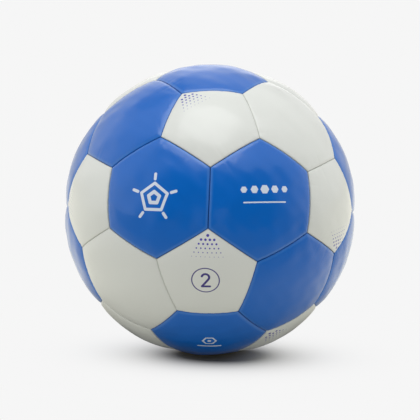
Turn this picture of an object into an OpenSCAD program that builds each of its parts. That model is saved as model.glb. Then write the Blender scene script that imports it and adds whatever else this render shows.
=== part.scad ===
// A size 2 handball: thirty-two sewn panels of backed synthetic leather over a rubber bladder.
// The panels are the faces of a truncated icosahedron: twelve pentagons and twenty hexagons.
// The origin is the middle of the ball. The ball stands on the middle of a hexagon, so +Z runs
// through the middles of two opposite hexagons, and the front of the ball faces -Y.

/* [Ball] */
// Diameter over the middles of the panels
ball_d = 175; // [130:1:220]
// How far the corners of a panel lie below its middle
corner_sink = 1.3; // [0.6:0.1:1.6]

/* [Cover panels] */
// Thickness of the synthetic leather
skin_t = 1; // [0.6:0.1:1.4]
// Gap between the turned-in rims of two panels
seam_gap = 0.3; // [0.2:0.05:0.6]
// Thickness of the foam under the middle of a panel
foam_t = 1.8; // [1.4:0.1:3]
// Thickness of the textile lining under the foam
lining_t = 0.8; // [0.5:0.1:1.5]
// Clearance between one layer and the next
layer_gap = 0.15; // [0.1:0.01:0.2]

/* [Thread] */
// Diameter of the sewing thread
thread_d = 0.8; // [0.4:0.1:1.2]
// Space from the end of a run of thread to the corner that three panels share
thread_stop = 0.8; // [0.6:0.1:2]

/* [Bladder] */
// Wall of the rubber bladder
bladder_t = 1; // [0.6:0.1:2]

/* [Valve] */
// Diameter of the valve housing where it stands in the hole of the cover
neck_d = 7.8; // [7:0.1:10]
// How far the top of the valve lies below the face of its panel
valve_recess = 0.5; // [0.2:0.1:1]
// Diameter of the barrel of the housing inside the bladder
barrel_d = 10; // [9:0.1:14]
// Length of the barrel, from the inside of its flange
barrel_l = 9; // [4:0.5:15]
// Diameter of the flange that is bonded under the patch
flange_d = 18; // [15:0.5:26]
// Thickness of the flange
flange_t = 1.5; // [0.8:0.1:2.5]
// Diameter of the reinforcing patch
patch_d = 28; // [22:0.5:40]
// Thickness of the patch
patch_t = 0.8; // [0.4:0.1:1.5]
// Diameter of the bore that holds the core
core_bore_d = 5; // [4:0.1:5.5]
// Running clearance all round the core
core_fit = 0.05; // [0.02:0.01:0.1]
// Diameter of the head of the core
head_d = 6.2; // [5.8:0.1:6.6]
// Height of the head of the core
head_h = 1; // [0.6:0.1:2]
// Diameter of the needle that inflates the ball
needle_d = 2; // [1.8:0.1:2.5]
// Clearance all round the needle in its guide
needle_fit = 0.1; // [0.05:0.01:0.3]
// Depth of the guide, below which the core is a closed slit
guide_l = 5; // [3:0.5:8]
// Width added all round the guide by the cone at its mouth
mouth_w = 0.7; // [0.3:0.1:1]

/* [Hidden] */
cover_fn = 220;
round_fn = 96;
cone_overrun = 30;

// Radii of the layers, from the outside in
ball_r = ball_d / 2;
foam_in_r = ball_r - skin_t - layer_gap - foam_t;
lining_out_r = foam_in_r - layer_gap;
lining_in_r = lining_out_r - lining_t;
bladder_r = lining_in_r - layer_gap;
bladder_in_r = bladder_r - bladder_t;
thread_r = bladder_r + layer_gap + thread_d / 2;
rim_in_r = thread_r + thread_d / 2 + layer_gap;
cone_h = ball_r + cone_overrun;

// How far each layer stays from the middle plane of a seam
skin_inset = seam_gap / 2;
backing_inset = skin_inset + skin_t + layer_gap;

// Heights along the valve's axis, and its widths with their clearances
valve_top = ball_r - valve_recess;
patch_r = bladder_in_r - layer_gap;
flange_r = patch_r - patch_t - layer_gap;
barrel_bottom = flange_r - flange_t - barrel_l;
head_bottom = valve_top - head_h;
core_d = core_bore_d - 2 * core_fit;
head_seat_d = head_d + 2 * core_fit;
neck_hole_d = neck_d + 2 * layer_gap;
guide_d = needle_d + 2 * needle_fit;

// The golden ratio sets out the whole pattern of panels
golden = (1 + sqrt(5)) / 2;
// Corners of the icosahedron with edges of 2, whose corners are cut off to make the pentagons
ico_edge = 2;
ico_points = [
    for (turn = [0 : 2], s = [-1, 1], t = [-1, 1])
        let (p = [0, s * golden, t])
            [p[turn], p[(turn + 1) % 3], p[(turn + 2) % 3]]
];
edge_slack_share = 1.01;
function joined(a, b) = norm(a - b) > 0 && norm(a - b) < ico_edge * edge_slack_share;

// Turns the pattern about X until the middle of a hexagon is at the top
rest_angle = atan(1 / pow(golden, 2));
function at_rest(p) = [
    p.x,
    p.y * cos(rest_angle) + p.z * sin(rest_angle),
    p.z * cos(rest_angle) - p.y * sin(rest_angle)
];

// A panel is the direction of its middle and the direction of one of its corners
function cut_corner(a, b) = (2 * a + b) / 3;
triples = [
    for (i = [0 : 9], j = [i + 1 : 10], k = [j + 1 : 11])
        let (a = ico_points[i], b = ico_points[j], c = ico_points[k])
            if (joined(a, b) && joined(b, c) && joined(a, c)) [a, b, c]
];
// One hexagon in five is white: the four whose middles are the corners of one tetrahedron
function is_white(t) = let (m = t[0] + t[1] + t[2]) round(m.x * m.y * m.z) < 0;
function hexagon(t) = [at_rest(t[0] + t[1] + t[2]), at_rest(cut_corner(t[0], t[1]))];
blue_hexagons = [for (t = triples) if (!is_white(t)) hexagon(t)];
white_hexagons = [for (t = triples) if (is_white(t)) hexagon(t)];
white_pentagons = [
    for (a = ico_points)
        let (b = [for (p = ico_points) if (joined(a, p)) p][0])
            [at_rest(a), at_rest(cut_corner(a, b))]
];
hexagons = concat(blue_hexagons, white_hexagons);

// The valve is in the middle of the white hexagon at the back, on the left
valve_index = [
    for (i = [0 : len(white_hexagons) - 1])
        let (m = white_hexagons[i][0])
            if (m.x < 0 && m.y > 0 && m.z > 0) i
][0];
valve_panel = white_hexagons[valve_index];

// Corners that three panels share, and the seams between neighbouring corners
corners = [
    for (a = ico_points, b = ico_points)
        if (joined(a, b)) at_rest(cut_corner(a, b))
];
seam_length = ico_edge / 3;
seams = [
    for (i = [0 : len(corners) - 2], j = [i + 1 : len(corners) - 1])
        if (norm(corners[i] - corners[j]) < seam_length * edge_slack_share)
            [corners[i], corners[j]]
];

// Angles at the middle of the ball
corner_ratio = sqrt(1 + 9 * pow(golden, 2)) / 2;
function corner_angle(sides) = asin(1 / (2 * sin(180 / sides) * corner_ratio));
function flat_angle(sides) = atan(tan(corner_angle(sides)) * cos(180 / sides));
seam_angle = 2 * asin(1 / (2 * corner_ratio));
stop_angle = asin(thread_stop / thread_r);

// Radius of the face of a panel, which is domed more than the ball, so its corners are sunk
function dome_r(sides) =
    let (
        s = ball_r - corner_sink,
        half = s * sin(corner_angle(sides)),
        rise = ball_r - s * cos(corner_angle(sides))
    )
        (pow(half, 2) + pow(rise, 2)) / (2 * rise);

function two_digits(n) = n < 10 ? str("0", n) : str(n);
function numbered(name, panels) = [
    for (i = [0 : len(panels) - 1]) str(name, "_", two_digits(i + 1))
];
blue_hexagon_names = numbered("blue_hexagon_panel", blue_hexagons);
white_hexagon_names = numbered("white_hexagon_panel", white_hexagons);
white_pentagon_names = numbered("white_pentagon_panel", white_pentagons);

// Turns the children so that their Z points along z_dir and their X leans towards x_dir
module face_along(z_dir, x_dir) {
    azimuth = atan2(z_dir.y, z_dir.x);
    polar = atan2(norm([z_dir.x, z_dir.y]), z_dir.z);
    x_axis = [cos(polar) * cos(azimuth), cos(polar) * sin(azimuth), -sin(polar)];
    y_axis = [-sin(azimuth), cos(azimuth), 0];
    rotate([0, polar, azimuth])
        rotate([0, 0, atan2(x_dir * y_axis, x_dir * x_axis)])
            children();
}

module at_panel(panel) {
    face_along(panel[0], panel[1])
        children();
}

// Pyramid from the middle of the ball through a panel's seams, with its sides moved in by inset
module wedge(sides, inset) {
    translate([0, 0, inset / sin(flat_angle(sides))])
        cylinder(h = cone_h, r1 = 0, r2 = cone_h * tan(corner_angle(sides)), $fn = sides);
}

// Everything under the face of a panel, moved in by depth
module dome(sides, depth) {
    translate([0, 0, ball_r - dome_r(sides)])
        sphere(r = dome_r(sides) - depth, $fn = cover_fn);
}

// One panel of leather, a shallow tray whose rim is turned in along its seams
module cover(sides) {
    difference() {
        intersection() {
            wedge(sides, skin_inset);
            dome(sides, 0);
        }
        intersection() {
            wedge(sides, skin_inset + skin_t);
            dome(sides, skin_t);
        }
        sphere(r = rim_in_r, $fn = cover_fn);
    }
}

module foam_backing(sides) {
    difference() {
        intersection() {
            wedge(sides, backing_inset);
            dome(sides, skin_t + layer_gap);
        }
        sphere(r = foam_in_r, $fn = cover_fn);
    }
}

module lining(sides) {
    intersection() {
        wedge(sides, backing_inset);
        layer(lining_out_r, lining_t);
    }
}

// A spherical layer, from its outer radius and its thickness
module layer(r, t) {
    difference() {
        sphere(r = r, $fn = cover_fn);
        sphere(r = r - t, $fn = cover_fn);
    }
}

// The hole that the housing stands in, through the cover and the bladder
module neck_hole() {
    cylinder(h = cone_h, d = neck_hole_d, $fn = round_fn);
}

module blue_hexagon_panel(panel) {
    color([0.09, 0.34, 0.71])
        at_panel(panel)
            cover(6);
}

module white_hexagon_panel(panel) {
    color([0.88, 0.9, 0.87])
        at_panel(panel)
            difference() {
                cover(6);
                if (panel == valve_panel)
                    neck_hole();
            }
}

module white_pentagon_panel(panel) {
    color([0.88, 0.9, 0.87])
        at_panel(panel)
            cover(5);
}

module hexagon_foam_backings() {
    color([0.86, 0.83, 0.72])
        for (panel = hexagons)
            at_panel(panel)
                difference() {
                    foam_backing(6);
                    if (panel == valve_panel)
                        neck_hole();
                }
}

module pentagon_foam_backings() {
    color([0.86, 0.83, 0.72])
        for (panel = white_pentagons)
            at_panel(panel)
                foam_backing(5);
}

module hexagon_linings() {
    color([0.8, 0.8, 0.78])
        for (panel = hexagons)
            at_panel(panel)
                difference() {
                    lining(6);
                    if (panel == valve_panel)
                        neck_hole();
                }
}

module pentagon_linings() {
    color([0.8, 0.8, 0.78])
        for (panel = white_pentagons)
            at_panel(panel)
                lining(5);
}

// One run of thread along each seam, under the rims that it holds together
module seam_thread() {
    run = seam_angle - 2 * stop_angle;
    color([0.2, 0.22, 0.3])
        for (seam = seams)
            face_along(cross(seam[0], seam[1]), seam[0] + seam[1])
                rotate_extrude(angle = run, start = -run / 2, $fn = cover_fn)
                    translate([thread_r, 0])
                        circle(d = thread_d, $fn = round_fn);
}

module bladder() {
    color([0.12, 0.12, 0.13])
        difference() {
            layer(bladder_r, bladder_t);
            at_panel(valve_panel)
                neck_hole();
        }
}

// A rubber body with a neck in the cover's hole, a flange under the patch and a barrel inside
module valve_housing() {
    color([0.16, 0.16, 0.17])
        at_panel(valve_panel)
            difference() {
                union() {
                    translate([0, 0, flange_r - flange_t])
                        cylinder(h = valve_top - flange_r + flange_t, d = neck_d, $fn = round_fn);
                    translate([0, 0, barrel_bottom])
                        cylinder(h = barrel_l + flange_t / 2, d = barrel_d, $fn = round_fn);
                    intersection() {
                        layer(flange_r, flange_t);
                        cylinder(h = cone_h, d = flange_d, $fn = round_fn);
                    }
                }
                cylinder(h = cone_h, d = core_bore_d, $fn = round_fn);
                translate([0, 0, head_bottom - core_fit])
                    cylinder(h = cone_h, d = head_seat_d, $fn = round_fn);
            }
}

// The plug in the housing, with a guide for the needle
module valve_core() {
    color([0.55, 0.56, 0.58])
        at_panel(valve_panel)
            difference() {
                union() {
                    translate([0, 0, barrel_bottom])
                        cylinder(h = valve_top - barrel_bottom, d = core_d, $fn = round_fn);
                    translate([0, 0, head_bottom])
                        cylinder(h = head_h, d = head_d, $fn = round_fn);
                }
                translate([0, 0, valve_top - guide_l])
                    cylinder(h = cone_h, d = guide_d, $fn = round_fn);
                translate([0, 0, valve_top - mouth_w])
                    cylinder(h = mouth_w, d1 = guide_d, d2 = guide_d + 2 * mouth_w, $fn = round_fn);
            }
}

// The disc that spreads the pull of the flange over the inside of the bladder
module valve_patch() {
    color([0.3, 0.28, 0.26])
        at_panel(valve_panel)
            difference() {
                intersection() {
                    layer(patch_r, patch_t);
                    cylinder(h = cone_h, d = patch_d, $fn = round_fn);
                }
                neck_hole();
            }
}

for (i = [0 : len(blue_hexagons) - 1])
    blue_hexagon_panel(blue_hexagons[i]);
for (i = [0 : len(white_hexagons) - 1])
    white_hexagon_panel(white_hexagons[i]);
for (i = [0 : len(white_pentagons) - 1])
    white_pentagon_panel(white_pentagons[i]);
hexagon_foam_backings();
pentagon_foam_backings();
hexagon_linings();
pentagon_linings();
seam_thread();
bladder();
valve_housing();
valve_core();
valve_patch();
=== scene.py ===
# %% [markdown]
# # A sewn handball
#
# The real ball is a cover of thirty-two padded panels, sewn along ninety seams
# round a rubber bladder that holds the air. The panels are synthetic leather:
# sixteen blue hexagons, four white hexagons and twelve white pentagons.
#
# A CAD model of the same ball is the fixed frame of this scene. It says where
# every piece is and how large it is. This lesson gives each piece the shape and
# the finish that a camera would see: rolled edges, puckers at the stitches,
# grained leather, woven lining and moulded rubber.

import bpy
import numpy as np
from mathutils import Matrix, Vector


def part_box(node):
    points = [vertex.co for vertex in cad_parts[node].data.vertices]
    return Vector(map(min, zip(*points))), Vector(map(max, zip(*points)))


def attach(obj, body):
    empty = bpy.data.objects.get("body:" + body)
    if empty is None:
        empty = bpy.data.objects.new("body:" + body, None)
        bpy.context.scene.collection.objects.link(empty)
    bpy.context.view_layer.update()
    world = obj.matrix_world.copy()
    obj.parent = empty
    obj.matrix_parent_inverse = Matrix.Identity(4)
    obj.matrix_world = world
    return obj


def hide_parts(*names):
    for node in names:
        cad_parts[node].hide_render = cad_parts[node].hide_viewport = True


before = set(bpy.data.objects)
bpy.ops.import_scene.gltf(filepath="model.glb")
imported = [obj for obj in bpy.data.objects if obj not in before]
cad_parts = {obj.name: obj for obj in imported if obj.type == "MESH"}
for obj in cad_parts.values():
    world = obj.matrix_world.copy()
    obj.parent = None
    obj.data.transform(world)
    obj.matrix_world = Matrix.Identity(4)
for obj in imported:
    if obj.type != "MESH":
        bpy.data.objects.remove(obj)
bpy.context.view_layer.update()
print("nodes in the frame:", len(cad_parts))

# %% [markdown]
# ## Measures
#
# Everything is in metres. The ball's layers are given as radii from its middle,
# from the face of the panels down to the bladder. The CAD model uses the same
# numbers, so a piece made here lies where the CAD solid lies.

# %% Sizes of the layers
mm = 0.001
ball_r = 87.5 * mm
corner_sink = 1.3 * mm
skin_t = 1.0 * mm
layer_gap = 0.15 * mm
rim_r = 84.6 * mm
foam_in_r = 84.55 * mm
lining_out_r = 84.4 * mm
lining_in_r = 83.6 * mm
thread_r = 84.0 * mm
skin_inset = 0.06 * mm
backing_inset = 1.3 * mm
print("ball diameter in mm:", 2 * ball_r / mm)

# %% [markdown]
# ## The camera
#
# The ball was photographed from a little above with a long lens, which keeps it
# round. The camera stands 1.4 m from the middle of the ball and looks straight
# at it. Its matrix is built from three directions: right, up and back.

# %% Camera
camera_distance = 1.4
camera_azimuth, camera_elevation, camera_roll = np.radians([0.28, 16.04, 1.03])
sensor_width = 36.0
focal_length = 199.9


def camera_axes(azimuth, elevation, roll):
    """Right, up and back of a camera that looks at the origin. Back points from the
    ball to the camera; right is level; then both are turned about back by the roll."""
    level = np.cos(elevation)
    back = np.array([np.sin(azimuth) * level, -np.cos(azimuth) * level, np.sin(elevation)])
    right = np.array([np.cos(azimuth), np.sin(azimuth), 0.0])
    up = np.cross(back, right)
    c, s = np.cos(roll), np.sin(roll)
    return c * right + s * up, c * up - s * right, back


def into_scene(name, data):
    """A new object that shows its data in the scene."""
    made = bpy.data.objects.new(name, data)
    bpy.context.scene.collection.objects.link(made)
    return made


right, up, back = camera_axes(camera_azimuth, camera_elevation, camera_roll)
camera = into_scene("camera", bpy.data.cameras.new("camera"))
camera.data.lens = focal_length
camera.data.sensor_width = sensor_width
camera.data.clip_start, camera.data.clip_end = 0.05, 50.0
camera.matrix_world = Matrix.Translation(Vector(back * camera_distance)) @ Matrix(
    np.column_stack([right, up, back]).tolist()
).to_4x4()
bpy.context.scene.camera = camera
bpy.context.scene.view_settings.view_transform = "Standard"
print("camera at", np.round(back * camera_distance, 3))

# %% [markdown]
# ## Nodes, the short way
#
# A material is a graph of nodes. Small helpers keep the graphs readable. They add
# a node, a sum, a change of range, a mix or a whole group, and they start and
# close a finish. Where an input is given a socket, it is linked to it. Any other
# value is written into it.


# %% Helpers for node graphs
def fill(tree, node, inputs):
    """Links each input that is given a socket, and writes any other value into it."""
    for key, value in inputs.items():
        if isinstance(value, bpy.types.NodeSocket):
            tree.links.new(value, node.inputs[key])
        else:
            node.inputs[key].default_value = value
    return node


def add(tree, kind, inputs=None, **settings):
    """Adds one node to a tree, sets its settings, and fills its inputs."""
    made = tree.nodes.new("ShaderNode" + kind)
    for name, value in settings.items():
        setattr(made, name, value)
    return fill(tree, made, inputs or {})


def maths(tree, operation, *values):
    """The result of one sum on numbers."""
    return add(tree, "Math", dict(enumerate(values)), operation=operation).outputs[0]


def times(tree, first, second):
    """The product of two numbers."""
    return maths(tree, "MULTIPLY", first, second)


def minus(tree, first, second):
    """The first number less the second."""
    return maths(tree, "SUBTRACT", first, second)


def vectors(tree, operation, *values):
    """The result of one sum on vectors. A length or a dot product comes out as a number."""
    made = add(tree, "VectorMath", dict(enumerate(values)), operation=operation)
    plain = operation in ("LENGTH", "DOT_PRODUCT", "DISTANCE")
    return made.outputs["Value" if plain else "Vector"]


def spread(tree, value, low, high, to_low=0.0, to_high=1.0, smooth=False):
    """Maps low..high of a value to to_low..to_high, straight or with soft ends."""
    keys = {"Value": value, "From Min": low, "From Max": high, "To Min": to_low, "To Max": to_high}
    kind = "SMOOTHSTEP" if smooth else "LINEAR"
    return add(tree, "MapRange", keys, interpolation_type=kind).outputs["Result"]


def blend(tree, share, first, second):
    """Mixes two colours by a share."""
    return add(tree, "Mix", {0: share, 6: first, 7: second}, data_type="RGBA").outputs[2]


def between(tree, share, first, second):
    """Mixes two numbers by a share."""
    return add(tree, "Mix", {0: share, 2: first, 3: second}, data_type="FLOAT").outputs[0]


def noise(tree, place, scale, detail=2.0, roughness=0.5):
    """Soft random swells, about one in each length of one over the scale."""
    keys = {"Vector": place, "Scale": scale, "Detail": detail, "Roughness": roughness}
    return add(tree, "TexNoise", keys).outputs[0]


print("helpers for single nodes ready")


# %% Helpers for groups and finishes
def group_of(name, inputs, outputs):
    """An empty node group. An input whose default is none is a vector, and every other
    socket is a number. Returns the group, the sockets given to it, and its end."""
    made = bpy.data.node_groups.new(name, "ShaderNodeTree")
    for label, default in inputs.items():
        kind = "NodeSocketVector" if default is None else "NodeSocketFloat"
        socket = made.interface.new_socket(label, in_out="INPUT", socket_type=kind)
        if default is not None:
            socket.default_value = default
    for label in outputs:
        made.interface.new_socket(label, in_out="OUTPUT", socket_type="NodeSocketFloat")
    start, end = made.nodes.new("NodeGroupInput"), made.nodes.new("NodeGroupOutput")
    return made, start.outputs, end


def place_group(tree, group, inputs):
    """Puts a node group into a tree and fills its inputs. Returns what it puts out."""
    return add(tree, "Group", inputs, node_tree=group).outputs


def attribute(tree, name, kind="Vector"):
    """The value that each point of a piece carries under a name."""
    return add(tree, "Attribute", attribute_name=name).outputs[kind]


def start_finish(name):
    """An empty material and its tree."""
    material = bpy.data.materials.new(name)
    material.use_nodes = True
    material.node_tree.nodes.clear()
    return material, material.node_tree


def close_finish(tree, colour, roughness, height, relief, strength, more=None):
    """The end of a finish: a bump of so much relief, the shader, and the output."""
    bump = add(tree, "Bump", {"Height": height, "Distance": relief, "Strength": strength})
    keys = {"Base Color": colour, "Roughness": roughness, "Normal": bump.outputs[0]}
    body = add(tree, "BsdfPrincipled", {**keys, **(more or {})})
    add(tree, "OutputMaterial", {"Surface": body.outputs[0]})


def painted(red, green, blue):
    """A colour picked as it looks on a screen, 0 to 255, as the light it stands for."""
    share = np.array([red, green, blue]) / 255.0
    light = np.where(share <= 0.04045, share / 12.92, ((share + 0.055) / 1.055) ** 2.4)
    return (*light.tolist(), 1.0)


print("a mid grey is", np.round(painted(128, 128, 128)[0], 3))

# %% [markdown]
# ## Floor and light
#
# The studio is plain: a pale floor, a white tent round the ball, one large soft
# lamp above it, and one in front that lights the ball without being mirrored in
# its gloss. The tent is open towards the camera, up to a slanted edge, and that
# dark opening is what the satin leather shows as its deep, clear colour in front.
# Six patches of the tent, behind the ball and at its sides, are dimmer, so that
# the rim of the ball doesn't bleach.
#
# Close to the ball the floor is an ordinary matt surface, so it takes the ball's
# shadow. Round the ball's foot its colour is also painted darker, as a painted
# shadow. Further off it turns into an even glow of the background's colour, so no
# horizon shows. The light that this glow gives the ball is a little warm. It is
# weaker near the ball, in front and far behind.

# %% Floor
backdrop_colour = painted(246, 246, 246)
floor_half = 3.0
shadow_middle = (8 * mm, -13 * mm, 0.0)
shadow_stretch = (0.9, 2.1, 0.0)
shadow_core = 22 * mm
shadow_fade = 27 * mm
shadow_power = 1.4
floor_colour = (0.90, 0.90, 0.90, 1)
# Painted shadow: a dark floor colour round the ball's foot, and the distances over which it fades
# out.
painted_shadow_colour = (0.20, 0.17, 0.11, 1)
painted_shadow_fade = (12.4 * mm, 49.6 * mm)
bounce_colour = painted(246, 244, 232)
bounce_front, bounce_full, bounce_far = 0.28, 1.22, 0.7
front_to_full = (-0.35, 0.16)
near_to_full = (0.05, 0.14)
full_to_far = (0.35, 0.8)


def studio_floor():
    """Matt near the ball, an even glow further off. The share of the glow is one less
    the exponential of minus a power of the distance, measured from the middle of the
    shadow and less its core. Round the ball's foot the matt colour is painted darker,
    as a painted shadow. Light that the ball gets from the floor is weaker close
    by, where the ball stands in the way, in front, below the tent's opening, and far
    behind, where it would bleach the rim."""
    sides = ((-1, -1), (1, -1), (1, 1), (-1, 1))
    corners = [(x * floor_half, y * floor_half, -ball_r) for x, y in sides]
    mesh = bpy.data.meshes.new("studio_floor")
    mesh.from_pydata(corners, [], [(0, 1, 2, 3)])
    floor = into_scene("studio_floor", mesh)
    material, tree = start_finish("studio floor")
    place = add(tree, "TexCoord").outputs["Object"]
    offset = vectors(tree, "SUBTRACT", place, shadow_middle)
    reach = vectors(tree, "LENGTH", vectors(tree, "MULTIPLY", offset, shadow_stretch))
    reach = maths(tree, "MAXIMUM", minus(tree, reach, shadow_core), 0.0)
    fall = maths(tree, "POWER", maths(tree, "DIVIDE", reach, shadow_fade), shadow_power)
    share = minus(tree, 1.0, maths(tree, "EXPONENT", times(tree, fall, -1.0)))
    out = vectors(tree, "LENGTH", vectors(tree, "MULTIPLY", place, (1.0, 1.0, 0.0)))
    # Painted shadow: the floor's colour darkens towards the ball's foot.
    painted_shadow_share = spread(tree, out, *painted_shadow_fade, 0.0, 1.0, True)
    matt = add(tree, "BsdfDiffuse", {"Color": blend(tree, painted_shadow_share, painted_shadow_colour, floor_colour)})
    seen = add(tree, "LightPath").outputs["Is Camera Ray"]
    ahead = add(tree, "SeparateXYZ", {0: place}).outputs[1]
    bounce = spread(tree, ahead, *front_to_full, bounce_front, bounce_full, True)
    bounce = times(tree, bounce, spread(tree, out, *near_to_full))
    bounce = times(tree, bounce, spread(tree, ahead, *full_to_far, 1.0, bounce_far, True))
    colour = blend(tree, seen, bounce_colour, backdrop_colour)
    glow = add(tree, "Emission", {"Color": colour, "Strength": between(tree, seen, bounce, 1.0)})
    mixed = add(tree, "MixShader", {0: share, 1: matt.outputs[0], 2: glow.outputs[0]})
    add(tree, "OutputMaterial", {"Surface": mixed.outputs[0]})
    floor.data.materials.append(material)


studio_floor()
print("floor at", -ball_r)

# %% Background and lamps
tent_side_light, tent_top_light = 1.30, 0.88
tent_shoulder = (0.2, 0.8)
opening_light = 0.03
opening_middle = np.radians(8.0)
opening_side = np.radians([40.0, 96.0])
opening_top = np.sin(np.radians([46.0, 57.0]))
opening_slant = 0.14
patch_core = 0.3
# Each patch: the direction of its middle, its reach in degrees, the share it takes.
dim_patches = [
    ((-0.37, 0.64, 0.67), 20.0, 0.65),
    ((0.19, 0.89, 0.41), 15.0, 0.4),
    ((-0.92, 0.34, 0.17), 50.0, 0.28),
    ((0.92, 0.34, 0.17), 48.0, 0.22),
    ((-0.40, 0.90, 0.15), 22.0, 0.45),
    ((0.43, 0.88, 0.20), 22.0, 0.4),
]


def studio_world():
    """The camera sees the plain background, and everything else is lit by the tent. The
    opening is a window of angles: between two sides and up to a height that slants. A
    patch takes its share from the light within a core, and less from there out."""
    world = bpy.data.worlds.new("studio")
    bpy.context.scene.world = world
    world.use_nodes = True
    tree = world.node_tree
    tree.nodes.clear()
    facing = add(tree, "TexCoord").outputs["Generated"]
    to_right, to_back, upward = add(tree, "SeparateXYZ", {0: facing}).outputs
    angle = maths(tree, "ARCTAN2", to_right, times(tree, to_back, -1.0))
    aside = minus(tree, angle, opening_middle)
    height = maths(tree, "MULTIPLY_ADD", aside, opening_slant, upward)
    within = spread(tree, maths(tree, "ABSOLUTE", aside), *opening_side, 1.0, 0.0, True)
    below = spread(tree, height, *opening_top, 1.0, 0.0, True)
    tent = spread(tree, upward, *tent_shoulder, tent_side_light, tent_top_light, True)
    for middle, reach, share in dim_patches:
        rim, core = np.cos(np.radians([reach, patch_core * reach]))
        near = vectors(tree, "DOT_PRODUCT", facing, middle)
        tent = times(tree, tent, spread(tree, near, rim, core, 1.0, 1.0 - share, True))
    light = between(tree, times(tree, within, below), tent, opening_light)
    seen = add(tree, "LightPath").outputs["Is Camera Ray"]
    sky = add(tree, "Background", {"Color": (1, 1, 1, 1), "Strength": light})
    plain = add(tree, "Background", {"Color": backdrop_colour, "Strength": 1.0})
    mixed = add(tree, "MixShader", {0: seen, 1: sky.outputs[0], 2: plain.outputs[0]})
    add(tree, "OutputWorld", {"Surface": mixed.outputs[0]})


def soft_lamp(name, place, size, watts, mirrored=True):
    """A square lamp at a place, turned to shine at the ball. One that isn't mirrored
    lights the ball without being seen in its gloss."""
    lamp = into_scene(name, bpy.data.lights.new(name, "AREA"))
    lamp.data.shape = "SQUARE"
    lamp.data.size = size
    lamp.data.energy = watts
    lamp.location = place
    lamp.rotation_euler = (-Vector(place)).to_track_quat("-Z", "Y").to_euler()
    lamp.visible_glossy = mirrored


studio_world()
soft_lamp("lamp_above", place=(-0.05, -0.15, 1.2), size=0.9, watts=5.0)
soft_lamp("lamp_front", place=(0.0, -1.55, 0.15), size=0.6, watts=6.8, mirrored=False)

# %% [markdown]
# ## The pattern of panels
#
# The pattern is an icosahedron with its twelve corners cut off: a cut corner is
# a pentagon, and what is left of a face is a hexagon. The whole pattern is then
# turned until the ball stands on the middle of a hexagon, as in the CAD model.

# %% Directions of the panels and their corners
golden = (1 + np.sqrt(5)) / 2
tip_angle = np.arctan(1 / golden**2)
ico_edge = 2.0
edge_slack = 0.01
white_limit = -0.5
same_way = 0.99
valve_axis = np.array([-1 / np.sqrt(3), np.sqrt(5) / 3, 1 / 3])


def unit(arrows):
    """Each arrow divided by its own length."""
    return arrows / np.linalg.norm(arrows, axis=-1, keepdims=True)


def at_rest(points):
    """Turns points about the X axis by the tip angle."""
    c, s = np.cos(tip_angle), np.sin(tip_angle)
    x, y, z = points[..., 0], points[..., 1], points[..., 2]
    return np.stack([x, y * c + z * s, z * c - y * s], axis=-1)


def compass(middle):
    """Two directions along the ball's surface at a point: east, which is level, and
    north, square to it. At the top and bottom of the ball east is the X axis."""
    level = np.cross([0.0, 0.0, 1.0], middle)
    east = unit(level) if np.linalg.norm(level) > mm else np.array([1.0, 0.0, 0.0])
    return east, np.cross(middle, east)


class Panel:
    """One panel: its middle and its corners as directions, and its edges' planes."""

    def __init__(self, middle, corners, white):
        self.middle, self.white, self.sides = unit(middle), white, len(corners)
        self.has_valve = self.middle @ valve_axis > same_way
        corners = unit(corners)
        east, north = compass(self.middle)
        order = np.argsort(np.arctan2(corners @ north, corners @ east))
        self.corners = corners[order]
        self.next_corners = np.roll(self.corners, -1, axis=0)
        self.edge_normals = unit(np.cross(self.corners, self.next_corners))
        self.corner_angle = np.arccos(self.corners[0] @ self.middle)
        self.flat_angle = np.arctan(np.tan(self.corner_angle) * np.cos(np.pi / self.sides))


def all_panels():
    """Pentagons: each corner of the icosahedron with the cuts on its five edges, at a
    third of each. Hexagons: each three neighbouring corners, with the cuts between.
    Eight hexagons lie in the directions of a cube's corners. White are every second
    one of them, where the product of the three coordinates is negative."""
    first = np.array([[0.0, s * golden, t] for s in (-1, 1) for t in (-1, 1)])
    points = np.concatenate([np.roll(first, -turn, axis=1) for turn in range(3)])
    gaps = np.linalg.norm(points[:, None] - points[None], axis=2)
    joined = np.abs(gaps - ico_edge) < edge_slack
    made = []
    for i in range(len(points)):
        near = points[joined[i]]
        made.append(Panel(at_rest(points[i]), at_rest((2 * points[i] + near) / 3), True))
        for j in range(i):
            for k in range(j):
                if joined[i, j] and joined[j, k] and joined[i, k]:
                    three = points[[i, j, k]]
                    middle = three.sum(axis=0)
                    pairs = [(0, 1), (1, 0), (1, 2), (2, 1), (2, 0), (0, 2)]
                    cuts = np.array([(2 * three[a] + three[b]) / 3 for a, b in pairs])
                    white = middle.prod() < white_limit
                    made.append(Panel(at_rest(middle), at_rest(cuts), white))
    return made


panels = all_panels()
by_kind = {
    "hexagon": [p for p in panels if p.sides == 6],
    "pentagon": [p for p in panels if p.sides == 5],
}
every_corner = np.concatenate([p.corners for p in by_kind["hexagon"]])
seam_corners = unit(np.unique(np.round(every_corner, 6), axis=0))
print({kind: len(some) for kind, some in by_kind.items()}, "corners:", len(seam_corners))

# %% [markdown]
# ## Seams are never quite true
#
# A ball is sewn by hand and then blown up, so its corners settle a little off
# the ideal pattern. Each corner gets a small pull along the surface. The pull at
# any other point is a smooth blend of the pulls around it: a sum of bell curves,
# one at each corner, weighted so that the sum is right at the corners.

# %% The pull of the stitching
pull_reach = 0.26
loose_pull = 0.35 * mm
pull_seed = 11
valve_calm, valve_still = 0.25, 0.3
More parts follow.
